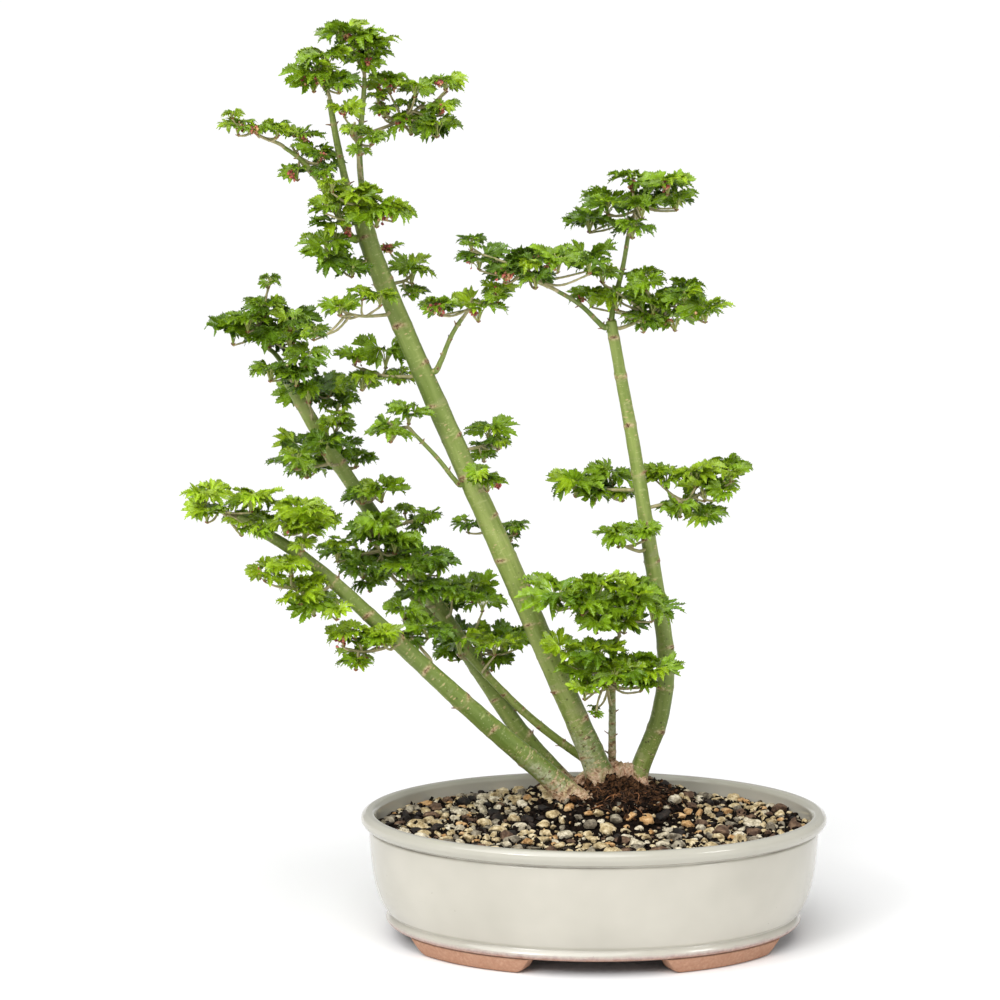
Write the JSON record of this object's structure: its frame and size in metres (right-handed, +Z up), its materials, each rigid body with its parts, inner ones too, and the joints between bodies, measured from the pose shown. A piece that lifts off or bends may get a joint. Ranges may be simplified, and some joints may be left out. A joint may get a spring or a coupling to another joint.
{
  "type": "potted japanese maple bonsai",
  "caption": "Japanese maple bonsai with leaning green stems and tiers of crinkled leaves, in an oval glazed pot filled with gravelly soil.",
  "frame": {"origin": "middle of the underside of the whole object's bounding box, on the plane that the pot's feet stand on", "axes": "+Z up, +X to the right along the pot's long side, the front faces -Y"},
  "size_m": [0.4152, 0.2364, 0.5935],
  "materials": {
    "glaze": "glossy cream celadon glaze",
    "terracotta": "bare matt fired clay",
    "soil": "dark soil under mixed small gravel",
    "bark": "smooth living green bark",
    "leaf": "thin crinkled leaves, slightly glossy"
  },
  "bodies": {
    "root": {"pot": "glaze", "foot_front_left": "terracotta", "foot_front_right": "terracotta", "foot_back_left": "terracotta", "foot_back_right": "terracotta", "soil": "soil", "trunk_main": "bark", "trunk_left": "bark", "trunk_low": "bark", "trunk_right": "bark", "stem_crossing": "bark", "shoot_base": "bark", "fork_left": "bark", "fork_right": "bark", "arm_left": "bark", "bough_left": "bark", "shoot_upper": "bark", "shoot_middle": "bark", "arm_right": "bark", "riser_right": "bark", "leaves_top_left": "leaf", "leaves_top_right": "leaf", "leaves_fork_pad": "leaf", "leaves_between_forks": "leaf", "leaves_arm_tip": "leaf", "leaves_arm_inner": "leaf", "leaves_trunk_top": "leaf", "leaves_upper_left": "leaf", "leaves_upper_right": "leaf", "leaves_high_left": "leaf", "leaves_upper_shoot": "leaf", "leaves_mid_left": "leaf", "leaves_middle_shoot": "leaf", "leaves_mid_back": "leaf", "leaves_mid_front": "leaf", "leaves_behind_trunk": "leaf", "leaves_left_top": "leaf", "leaves_left_front": "leaf", "leaves_left_back": "leaf", "leaves_left_small": "leaf", "leaves_left_middle": "leaf", "leaves_left_lower": "leaf", "leaves_left_right": "leaf", "leaves_low_tip": "leaf", "leaves_low_top": "leaf", "leaves_low_under": "leaf", "leaves_low_hanging": "leaf", "leaves_dense_middle": "leaf", "leaves_centre_back": "leaf", "leaves_centre_left": "leaf", "leaves_centre_low": "leaf", "leaves_base_upper": "leaf", "leaves_base_lower": "leaf", "leaves_right_crown": "leaf", "leaves_right_arm": "leaf", "leaves_right_top": "leaf", "leaves_right_left": "leaf", "leaves_right_outer": "leaf", "leaves_right_small": "leaf"}
  },
  "joints": []
}
